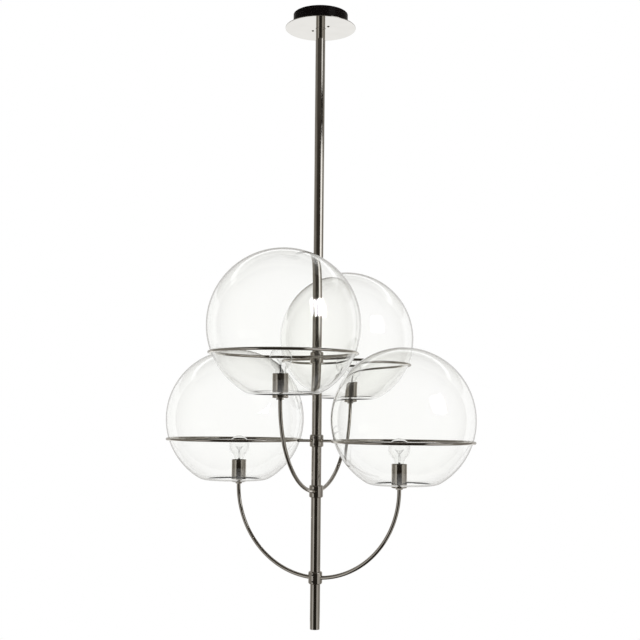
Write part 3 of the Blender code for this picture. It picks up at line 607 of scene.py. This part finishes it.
for level, tier in tiers.items():
    for kind, height, aside in (("ring", tier["rings"], 0.0), ("arm", tier["arms"], tier["aside"])):
        collar = turned(collar_outline, 96)
        for turn in tier["turns"].values():
            if kind == "ring":
                drill = bent([(0.01, 0), (past_collar, 0)], rod_radius + gap)
            else:
                drill = bent(arm_entry, arm_radius + gap)
            drill.transform(spun(turn + aside))
            collar = worked(collar, drill)
        aim = spun(grub_turns[level] + aside)
        for end, rise in (("low", -grub_height), ("high", grub_height)):
            drill = bent([(0.013, rise), (past_collar, rise)], grub_hole, 32)
            drill.transform(aim)
            collar = worked(collar, drill)
            grub = bent([(grub_point, 0), (grub_face - grub_edge, 0), (grub_face, 0)], grub_radius, 32)
            socket = bent([(grub_face - socket_depth, 0), (past_collar, 0)], socket_radius, 6)
            grub = worked(grub, socket)
            grub.transform(Matrix.Translation((0, 0, height + rise)) @ aim)
            made = fitted(f"grub_{level}_{kind}_{end}", grub, black_steel, "frame")
        node = f"{level}_{kind}_collar"
        made = fitted(f"collar_{level}_{kind}", collar, nickel, "frame", [node], (0, 0, height))

# Rings: brass rod bent to a hoop and brazed shut, with a short straight rod brazed on that goes
# into the collar. Polished and plated in one piece.
hoop_radius = 0.195
braze = 0.0007
heel = -hoop_radius - rod_radius
for tier in tiers.values():
    for side, turn in tier["turns"].items():
        hoop = turned(rounding(hoop_radius, 0, rod_radius, 0, 360, 20)[:-1], 224)
        rod = bent([(stem_radius + gap - ring_reach, 0), (rod_radius / 2 - hoop_radius, 0)], rod_radius)
        ring = worked(hoop, rod, "UNION")
        fillet = bent([(heel - 0.005, 0), (heel - 0.002, 0), (heel + 0.0015, 0)], rod_radius + braze)
        for point in fillet.vertices:
            if point.co.x < heel - 0.004:
                point.co.y *= rod_radius / (rod_radius + braze)
                point.co.z *= rod_radius / (rod_radius + braze)
        ring = worked(ring, fillet, "UNION")
        ring.transform(spun(turn) @ Matrix.Translation((ring_reach, 0, 0)))
        made = fitted("hoop_" + side, ring, nickel, "frame", ["ring_" + side], (0, 0, tier["rings"]))

# Globes: clear glass, blown, with the mouth turned inwards and fire-polished to a round lip. Each
# rests by its own weight in its ring and lifts out upwards. The upper pair is a little larger.
globe_wall = 0.003
mouth_radius = 0.079
mouth_curve = 0.050
lip_bead = 0.0019
clear_glass = grained("clear_glass", (0.996, 0.998, 0.984), (1.0, 1.0, 0.993), (7, 7, 5), 0.0, 0.003, 0.0)
set_on(clear_glass, Transmission_Weight=1.0, IOR=1.46, Specular_Tint=(0.2, 0.2, 0.2, 1))
for globe_radius, globe_rise, level in ((0.200, 0.06092, "lower"), (0.2042, 0.07379, "upper")):
    curve_reach = globe_radius - mouth_curve
    curve_start = -math.degrees(math.acos(mouth_radius / curve_reach))
    curve_height = curve_reach * math.sin(math.radians(curve_start))
    bead_height = curve_height - mouth_curve + globe_wall / 2
    globe_outline = rounding(0, 0, globe_radius - globe_wall, 90, curve_start, 90)
    globe_outline += rounding(mouth_radius, curve_height, mouth_curve - globe_wall, curve_start, -87, 16)[1:]
    globe_outline += rounding(mouth_radius, bead_height, lip_bead, 60, 300, 14)
    globe_outline += rounding(mouth_radius, curve_height, mouth_curve, -87, curve_start, 16)
    globe_outline += rounding(0, 0, globe_radius, curve_start, 90, 90)[1:]
    globe_outline[0] = (0, globe_radius - globe_wall)
    globe_outline[-1] = (0, globe_radius)
    for side, turn in tiers[level]["turns"].items():
        globe = turned(globe_outline, 144, closed=False)
        place = (*stood(ring_reach, turn), tiers[level]["rings"] + globe_rise)
        made = fitted("glass_" + side, globe, clear_glass, "globe_" + side, ["globe_" + side], place)
        made.visible_shadow = False

# Arms: brass tube bent to a quarter circle, plated, from the stem up into the mouth of a globe.
# A six-sided nut on its upper end clamps the lamp holder.
holder_rise = 0.2565
arm_start = 0.0124
arm_in_holder = 0.012
nut_radius = 0.0105
nut_height = 0.004
arm_path = rounding(0, arm_reach, arm_reach, math.degrees(math.asin(arm_start / arm_reach)) - 90, 0, 72)
arm_path += [(arm_reach, holder_rise + arm_in_holder)]
for tier in tiers.values():
    for side, turn in tier["turns"].items():
        place = (0, 0, tier["arms"])
        aim = turn + tier["aside"]
        arm = bent(arm_path, arm_radius, 28, arm_bore)
        made = fitted("tube_" + side, arm, nickel, "frame", ["arm_" + side], place, aim)
        nut = six_sided(nut_radius, arm_radius, holder_rise - gap - nut_height, holder_rise - gap)
        nut.transform(Matrix.Translation((arm_reach, 0, 0)))
        made = fitted("nut_" + side, nut, nickel, "frame", (), place, aim)

# Lamp holders: a drawn brass cover, plated, round a glazed ceramic body. The body carries the
# rolled brass shell that takes the bulb.
cover_radius = 0.0215
cover_height = 0.065
cover_wall = 0.001
cover_shoulder = 0.0025
insert_low = 0.016
insert_high = 0.062
insert_radius = 0.0202
insert_edge = 0.0008
recess_radius = 0.0065
recess_depth = 0.008
well_radius = 0.0144
well_low = 0.033
shell_low = 0.0333
shell_high = 0.0593
shell_floor = 0.001
lamp_pitch = 0.0036
porcelain = grained("porcelain", (0.80, 0.79, 0.75), (0.87, 0.86, 0.83), (55, 55, 55), 0.12, 0.24, 0.08)
cover_outline = [(arm_radius + gap, 0)]
cover_outline += rounding(cover_radius - cover_shoulder, cover_shoulder, cover_shoulder, -90, 0, 8)
rim_centre = cover_radius - cover_wall / 2
cover_outline += rounding(rim_centre, cover_height - cover_wall / 2, cover_wall / 2, 0, 180, 6)
inner_shoulder = cover_shoulder - cover_wall
cover_outline += rounding(cover_radius - cover_shoulder, cover_shoulder, inner_shoulder, 0, -90, 6)
cover_outline += [(arm_radius + gap, cover_wall)]
insert_outline = [
    (0, insert_low + recess_depth),
    (recess_radius, insert_low + recess_depth),
    (recess_radius, insert_low),
    (insert_radius, insert_low),
]
insert_outline += rounding(insert_radius - insert_edge, insert_high - insert_edge, insert_edge, 0, 90, 4)
insert_outline += rounding(well_radius + insert_edge, insert_high - insert_edge, insert_edge, 90, 180, 4)
insert_outline += [(well_radius, well_low), (0, well_low)]
for tier in tiers.values():
    for side, turn in tier["turns"].items():
        place = (*stood(arm_reach, turn + tier["aside"]), tier["arms"] + holder_rise)
        cover = turned(cover_outline, 96)
        made = fitted("cover_" + side, cover, nickel, "frame", ["holder_cover_" + side], place)
        insert = turned(insert_outline, 64, closed=False)
        made = fitted("ceramic_" + side, insert, porcelain, "frame", ["holder_insert_" + side], place)
        shell = threaded(
            0.0141, 0.0005, lamp_pitch, shell_low + shell_floor, shell_high, wall=0.0003, sides=64
        )
        floor = upright(0.0134, shell_low, shell_low + shell_floor, sides=64)
        shell = worked(shell, floor, "UNION")
        made = fitted("shell_" + side, shell, brass, "frame", ["holder_shell_" + side], place)

# Bulbs: a clear pear of thin glass cemented to a rolled screw cap, which ends in a black glass
# insulator and a soldered contact. The flared mount inside holds the wires and the coiled filament.
cap_high = 0.0621
cap_height = 0.026
cap_foot = 0.0035
cap_floor = 0.0036
contact_height = 0.0015
contact_flat = 3.2
pear_radius = 0.030
neck_radius = 0.0121
neck_curve = 0.030
neck_in_cap = 0.004
pear_wall = 0.0004
foot_gap = 0.0008
bulb_glass = grained("bulb_glass", (0.990, 0.991, 0.987), (1.0, 1.0, 0.997), (40, 40, 40), 0.0, 0.003, 0.0)
set_on(bulb_glass, Transmission_Weight=1.0, IOR=1.5, Specular_Tint=(0.4, 0.4, 0.4, 1))
bulb_cap = grained("bulb_cap", (0.62, 0.63, 0.63), (0.76, 0.77, 0.77), (60, 60, 900), 0.2, 0.34, 0.15)
set_on(bulb_cap, Metallic=1.0)
black_glass = grained(
    "black_glass", (0.010, 0.009, 0.012), (0.03, 0.028, 0.03), (300, 300, 300), 0.1, 0.2, 0.1
)
solder = grained("solder", (0.48, 0.48, 0.49), (0.66, 0.66, 0.66), (900, 900, 900), 0.3, 0.5, 0.5)
set_on(solder, Metallic=1.0)
bulb_wire = grained("bulb_wire", (0.30, 0.29, 0.28), (0.46, 0.45, 0.43), (2000, 2000, 60), 0.25, 0.4, 0.1)
set_on(bulb_wire, Metallic=1.0)
pear_reach = neck_radius + neck_curve
pear_height = math.sqrt((pear_radius + neck_curve) ** 2 - pear_reach**2)
pear_meet = math.degrees(math.atan2(pear_height, pear_reach))
mount_foot = neck_radius - pear_wall - foot_gap


def pear(inset):
    """Outline of the bulb from its neck to its crown. Height 0 is the rim of the cap."""
    neck = rounding(pear_reach, 0, neck_curve + inset, 180, 180 - pear_meet, 14)
    crown = rounding(0, pear_height, pear_radius - inset, -pear_meet, 90, 30)
    crown[-1] = (0, pear_height + pear_radius - inset)
    return [(neck_radius - inset, -neck_in_cap)] + neck[:-1] + crown


def wires(name, runs, thickness, body, place):
    """Drawn wires of one thickness, each along its own run of points, as one piece."""
    curve = bpy.data.curves.new(name, "CURVE")
    curve.dimensions = "3D"
    curve.bevel_depth = thickness / 2
    curve.bevel_resolution = 2
    curve.use_fill_caps = True
    for run in runs:
        spline = curve.splines.new("POLY")
        spline.points.add(len(run) - 1)
        for point, at in zip(spline.points, run):
            point.co = (*at, 1)
    curve.materials.append(bulb_wire)
    piece = bpy.data.objects.new(name, curve)
    bpy.context.scene.collection.objects.link(piece)
    piece.location = place
    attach(piece, body)
    return piece


press_high = 0.026
wire_tip = 0.042
wire_size = 0.0006
filament_size = 0.0002
coil_half = 0.012
coil_dip = 0.004
coil_radius = 0.0003
coil_turns = 100
coil_steps = 800
lead_runs = []
for hand in (-1, 1):
    lead_foot = [(hand * 0.0016, 0, 0.010), (hand * 0.0016, 0, press_high)]
    lead_runs.append(lead_foot + [(hand * 0.0024, 0, 0.030), (hand * coil_half, 0, wire_tip)])
hook_runs = []
for share in (0.3, 0.5, 0.7):
    hook_x = -coil_half * math.cos(math.pi * share)
    hook_z = wire_tip - coil_dip * math.sin(math.pi * share)
    hook_foot = [(0, 0, press_high - 0.002), (0, 0, 0.029), (hook_x, 0.0006, hook_z - 0.0006)]
    hook_runs.append(hook_foot + [(hook_x + 0.0007, 0, hook_z), (hook_x, -0.0006, hook_z + 0.0002)])
coil = []
for step in range(coil_steps + 1):
    share = step / coil_steps
    roll = 2 * math.pi * coil_turns * share
    coil_x = -coil_half * math.cos(math.pi * share)
    coil_z = wire_tip - coil_dip * math.sin(math.pi * share)
    coil.append((coil_x, coil_radius * math.cos(roll), coil_z + coil_radius * math.sin(roll)))
mount_outline = [
    (0, -neck_in_cap),
    (mount_foot, -neck_in_cap),
    (mount_foot, -neck_in_cap + 0.0012),
    (0.0062, -0.0005),
    (0.0034, 0.0035),
    (0.0026, 0.009),
    (0.0024, 0.020),
    (0.0027, 0.0235),
    (0.0026, press_high - 0.0006),
    (0.0018, press_high),
    (0, press_high),
]
for tier in tiers.values():
    for side, turn in tier["turns"].items():
        body = "bulb_" + side
        place = (*stood(arm_reach, turn + tier["aside"]), tier["arms"] + holder_rise + cap_high)
        glass = turned(pear(pear_wall)[::-1] + pear(0), 96, closed=False)
        made = fitted("envelope_" + side, glass, bulb_glass, body, ["bulb_glass_" + side], place)
        made.visible_shadow = False
        cap = threaded(0.0132, 0.0009, lamp_pitch, cap_foot - cap_height, -0.0025, wall=0.0004, sides=64)
        rim = turned([(0.0125, -0.003), (0.0129, -0.0025), (0.0131, -0.0005), (0.0129, 0), (0.0124, 0)], 64)
        cap = worked(cap, rim, "UNION")
        made = fitted("cap_" + side, cap, bulb_cap, body, ["bulb_cap_" + side], place)
        insulator = [(0, -cap_height), (0.0088, -cap_height)]
        insulator += [(0.0121, cap_floor - cap_height), (0, cap_floor - cap_height)]
        insulator = turned(insulator, 64, closed=False)
        made = fitted("insulator_" + side, insulator, black_glass, body, (), place)
        contact = rounding(0, -cap_height, contact_height, -90, 0, 6)
        contact = [(contact_flat * r, z) for r, z in contact] + [(0, 0.001 - cap_height)]
        contact[0] = (0, -cap_height - contact_height)
        made = fitted("contact_" + side, turned(contact, 48, closed=False), solder, body, (), place)
        mount = turned(mount_outline, 48, closed=False)
        made = fitted("mount_" + side, mount, bulb_glass, body, ["bulb_mount_" + side], place, turn)
        made.visible_shadow = False
        wires("supports_" + side, lead_runs + hook_runs, wire_size, body, place)
        wires("filament_" + side, [coil], filament_size, body, place)

# Wiring: the cable comes from the terminal block, turns down into the stem and meets the four
# lamp leads in a sleeve. Each lead runs on inside its arm to the holder.
cable_radius = 0.0025
cable_fold = 0.010
sleeve_low = -1.3415
sleeve_high = -1.3115
sleeve_radius = 0.010
sheath = grained("cable_sheath", (0.78, 0.77, 0.72), (0.88, 0.87, 0.83), (240, 240, 30), 0.40, 0.55, 0.2)
cable_high = block_high - block_step / 2
cable_path = [(block_half + gap - block_reach, cable_high)]
cable_path += rounding(-cable_fold, cable_high - cable_fold, cable_fold, 90, 0, 16)
cable_path += [(0, sleeve_high - 0.002)]
cable = bent(cable_path, cable_radius)
cable.transform(spun(90 + yoke_turn))
made = fitted("cable", cable, sheath, "frame", ["mains_cable"])
sleeve_outline = [
    (0, sleeve_low),
    (0.0088, sleeve_low),
    (sleeve_radius, sleeve_low + 0.0015),
    (sleeve_radius, sleeve_high - 0.006),
    (0.0085, sleeve_high - 0.003),
    (0.0045, sleeve_high),
    (0, sleeve_high),
]
sleeve = turned(sleeve_outline, 48, closed=False)
made = fitted("sleeve", sleeve, sheath, "frame", ["mains_cable"])
for tier in tiers.values():
    for side in tier["turns"]:
        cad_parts["lamp_lead_" + side].material_slots[0].material = sheath

# Floor: a plain pale studio floor below the light. It fades out into the white background, is clear
# from below, and mirror reflections look past it to the painted reflection screens.
floor_level = -3.0
floor_radius = 5.0
clear_from = 1.2
clear_share = 0.9
floor_paint, floor_shader = new_finish("floor_paint")
floor_shader.inputs["Roughness"].default_value = 0.7
floor_tree = floor_paint.node_tree
floor_place = added(floor_tree, "TexCoord")
floor_speck = added(floor_tree, "TexNoise", Scale=60)
floor_tint = ramped(floor_tree, 0, (0.84, 0.84, 0.84), 1, (0.88, 0.88, 0.88))
floor_distance = added(floor_tree, "VectorMath", "LENGTH")
floor_fade = added(floor_tree, "MapRange", From_Min=clear_from, From_Max=floor_radius * clear_share)
floor_fade.interpolation_type = "SMOOTHSTEP"
floor_path = added(floor_tree, "LightPath")
floor_side = added(floor_tree, "NewGeometry")
floor_below = added(floor_tree, "Math", "MAXIMUM")
floor_unseen = added(floor_tree, "Math", "MAXIMUM")
floor_unseen.use_clamp = True
floor_clear = added(floor_tree, "BsdfTransparent")
floor_mix = added(floor_tree, "MixShader")
wired(
    floor_tree,
    (floor_place, "Object", floor_speck, "Vector"),
    (floor_speck, "Fac", floor_tint, "Fac"),
    (floor_tint, "Color", floor_shader, "Base Color"),
    (floor_place, "Object", floor_distance, 0),
    (floor_distance, "Value", floor_fade, "Value"),
    (floor_fade, "Result", floor_below, 0),
    (floor_side, "Backfacing", floor_below, 1),
    (floor_below, "Value", floor_unseen, 0),
    (floor_path, "Glossy Depth", floor_unseen, 1),
    (floor_unseen, "Value", floor_mix, "Fac"),
    (floor_shader, "BSDF", floor_mix, 1),
    (floor_clear, "BSDF", floor_mix, 2),
    (floor_mix, "Shader", floor_tree.nodes["Material Output"], "Surface"),
)
round_floor = bmesh.new()
bmesh.ops.create_circle(round_floor, cap_ends=True, segments=96, radius=floor_radius)
floor_mesh = bpy.data.meshes.new("floor")
round_floor.to_mesh(floor_mesh)
round_floor.free()
floor_mesh.materials.append(floor_paint)
studio_floor = bpy.data.objects.new("floor", floor_mesh)
bpy.context.scene.collection.objects.link(studio_floor)
studio_floor.location = (0, 0, floor_level)

# Painted reflections: glowing screens round the light that only mirror reflections see, painted in for
# what the metal and the glass mirror. They stand for a dark room behind the camera, a white cove and a
# grey ceiling behind the light, grey walls and white boards at its sides, and a softbox on the right.
# Each has its reach in metres, its turns from the camera's side, its heights, all in degrees, and its
# brightness, and the darker it is, the browner. The faint mirror of the globes' own faces has a painted
# set of its own, as on bright film. Their outer faces also have a painted highlight, a much brighter
# softbox, and their far walls a whiter painted cove.
camera_side = 20.55
screens_level = -1.2
screen_facet = 6
# Painted reflections that the metal finishes mirror, and the globes' far walls too.
painted_screens_in_metal = (
    (20.0, -180, 180, -90, 90, 0.02),
    (19.9, -66, 34, 18, 40, 0.07),
    (19.9, -44, 34, 4, 18, 0.04),
    (19.8, -180, 180, 40, 90, 0.04),
    (19.6, 132, 228, -35, -12, 1.00),
    (19.6, 132, 228, -12, 16, 0.55),
    (19.6, 132, 228, 16, 90, 0.35),
    (19.6, 90, 270, -90, -35, 0.12),
    (19.5, -132, -66, -60, 40, 0.24),
    (19.5, 80, 132, -60, 40, 0.24),
    (19.4, -66, -38, -50, 2, 0.50),
    (19.4, -66, -46, 2, 9, 0.36),
    (19.4, -66, -46, 9, 18, 0.12),
    (19.4, 34, 56, -50, 0.5, 0.42),
    (19.4, 56, 80, -50, 5.2, 0.42),
    (19.2, 37, 78, 5.2, 17, 1.35),
    (19.2, 34, 64, 20.2, 36, 1.10),
)
# Painted reflections that only the near faces of the globes mirror.
painted_screens_in_glass = (
    (22.0, -180, 180, -90, 90, 0.03),
    (21.8, -112, -60, -60, 40, 0.50),
    (21.8, 60, 112, -60, 40, 0.50),
    (21.6, 112, 248, -90, 20, 0.95),
    (21.5, 152, 208, -60, 20, 0.68),
    (21.6, 100, 260, 20, 90, 0.55),
    (21.4, 110, 250, 36, 42, 1.30),
)
# A painted highlight: a very bright softbox screen that only the globes' outer faces mirror.
painted_highlight_on_glass = ((21.0, 43, 66, 9, 33, 130.0),)
# A whiter painted cove, seen only in the globes' far walls.
painted_cove_in_far_wall = ((19.0, 132, 228, -12, 16, 1.00),)
browning = (0, 0.04, 0.10)


def paint_reflections(name, screens, in_metal, fewest, most):
    """Even glowing screens round the light that paint the reflections, for metal or not, and for glass faces
    behind so many others.
    """
    cloth = bmesh.new()
    tone = cloth.verts.layers.float_color.new("tone")
    for reach, left, right, low, high, bright in screens:
        across = max(2, round((right - left) / screen_facet))
        upward = max(2, round((high - low) / screen_facet))
        rows = []
        for j in range(upward + 1):
            rise = math.radians(low + (high - low) * j / upward)
            row = []
            for k in range(across + 1):
                around = math.radians(camera_side + left + (right - left) * k / across)
                flat = reach * math.cos(rise)
                height = reach * math.sin(rise) + screens_level
                point = cloth.verts.new((flat * math.sin(around), -flat * math.cos(around), height))
                point[tone] = (*[bright * min(bright, 1) ** power for power in browning], 1)
                row.append(point)
            rows.append(row)
        for lower, upper in zip(rows, rows[1:]):
            for k in range(across):
                cloth.faces.new((lower[k], lower[k + 1], upper[k + 1], upper[k]))
    mesh = bpy.data.meshes.new(name)
    cloth.to_mesh(mesh)
    cloth.free()
    finish, shader = new_finish(name)
    finish.cycles.emission_sampling = "NONE"
    tree = finish.node_tree
    tree.nodes.remove(shader)
    level = added(tree, "VertexColor")
    level.layer_name = "tone"
    path = added(tree, "LightPath")
    mirrored = added(tree, "Math", "GREATER_THAN")
    mirrored.inputs[1].default_value = 0.5
    crossed = added(tree, "Math", "COMPARE")
    crossed.inputs[1].default_value = (fewest + most) / 2
    crossed.inputs[2].default_value = (most - fewest) / 2
    from_glass = added(tree, "Math", "MULTIPLY")
    from_metal = added(tree, "Math", "SUBTRACT")
    from_metal.use_clamp = True
    from_metal.inputs[0].default_value = in_metal
    either = added(tree, "Math", "ADD")
    seen = added(tree, "Math", "MULTIPLY")
    glow = added(tree, "Emission")
    clear = added(tree, "BsdfTransparent")
    mix = added(tree, "MixShader")
    wired(
        tree,
        (path, "Glossy Depth", mirrored, 0),
        (path, "Transmission Depth", crossed, 0),
        (path, "Is Singular Ray", from_glass, 0),
        (crossed, "Value", from_glass, 1),
        (path, "Is Singular Ray", from_metal, 1),
        (from_glass, "Value", either, 0),
        (from_metal, "Value", either, 1),
        (mirrored, "Value", seen, 0),
        (either, "Value", seen, 1),
        (level, "Color", glow, "Color"),
        (seen, "Value", mix, "Fac"),
        (clear, "BSDF", mix, 1),
        (glow, "Emission", mix, 2),
        (mix, "Shader", tree.nodes["Material Output"], "Surface"),
    )
    mesh.materials.append(finish)
    painted_screens = bpy.data.objects.new(name, mesh)
    bpy.context.scene.collection.objects.link(painted_screens)


# Each set of painted reflections is seen only by the mirrors given with it.
paint_reflections("painted_reflections_in_metal", painted_screens_in_metal, 1, 4, 40)
paint_reflections("painted_reflections_in_glass", painted_screens_in_glass, 0, 0, 3)
paint_reflections("painted_highlight_on_glass", painted_highlight_on_glass, 0, 0, 0)
paint_reflections("painted_cove_in_far_wall", painted_cove_in_far_wall, 0, 4, 40)

# Studio lamps: a large soft key light on the camera's right and a weaker fill on its left. Reflections
# see the painted reflection screens instead of them.
lamp_aim = Vector((0, 0, -1.1))
lamps = (("key", 45, 4.2, 1.2, 1.8, 150), ("fill", -60, 3.6, 0.2, 2.0, 40))
for name, turn, reach, rise, size, power in lamps:
    light = bpy.data.lights.new(name, "AREA")
    light.size = size
    light.energy = power
    lamp = bpy.data.objects.new(name, light)
    bpy.context.scene.collection.objects.link(lamp)
    around = math.radians(camera_side + turn)
    lamp.location = (reach * math.sin(around), -reach * math.cos(around), rise)
    lamp.rotation_euler = (lamp_aim - lamp.location).to_track_quat("-Z", "Y").to_euler()
    lamp.visible_glossy = False
    lamp.visible_transmission = False

# Background: plain white, as the camera, the glass and the mirror finishes see it, and a softer
# level of the same light for everything else.
world = bpy.data.worlds.new("white_room")
bpy.context.scene.world = world
world.use_nodes = True
room_tree = world.node_tree
room_light = room_tree.nodes["Background"]
room_light.inputs["Color"].default_value = (1, 1, 1, 1)
room_path = added(room_tree, "LightPath")
seen_straight = added(room_tree, "Math", "MAXIMUM")
seen_through = added(room_tree, "Math", "MAXIMUM")
room_level = added(room_tree, "MapRange", To_Min=0.55, To_Max=1.0)
wired(
    room_tree,
    (room_path, "Is Camera Ray", seen_straight, 0),
    (room_path, "Is Glossy Ray", seen_straight, 1),
    (seen_straight, "Value", seen_through, 0),
    (room_path, "Is Transmission Ray", seen_through, 1),
    (seen_through, "Value", room_level, "Value"),
    (room_level, "Result", room_light, "Strength"),
)
bpy.context.scene.view_settings.view_transform = "Standard"

# Camera: a long lens a little below the middle of the light, aimed slightly up, with the small
# lean of the photograph.
lens_data = bpy.data.cameras.new("camera")
lens_data.lens = 60.57
lens_data.sensor_width = 36
camera = bpy.data.objects.new("camera", lens_data)
bpy.context.scene.collection.objects.link(camera)
bpy.context.scene.camera = camera
camera_reach = 3.0614
camera_height = -1.1756
aim_aside = -0.0021
aim_up = 0.0907
camera_lean = 0.0096
stand = math.radians(camera_side)
camera_place = (camera_reach * math.sin(stand), -camera_reach * math.cos(stand), camera_height)
aim = Matrix.Rotation(stand + aim_aside, 4, "Z") @ Matrix.Rotation(math.pi / 2 + aim_up, 4, "X")
camera.matrix_world = Matrix.Translation(camera_place) @ aim @ Matrix.Rotation(camera_lean, 4, "Z")
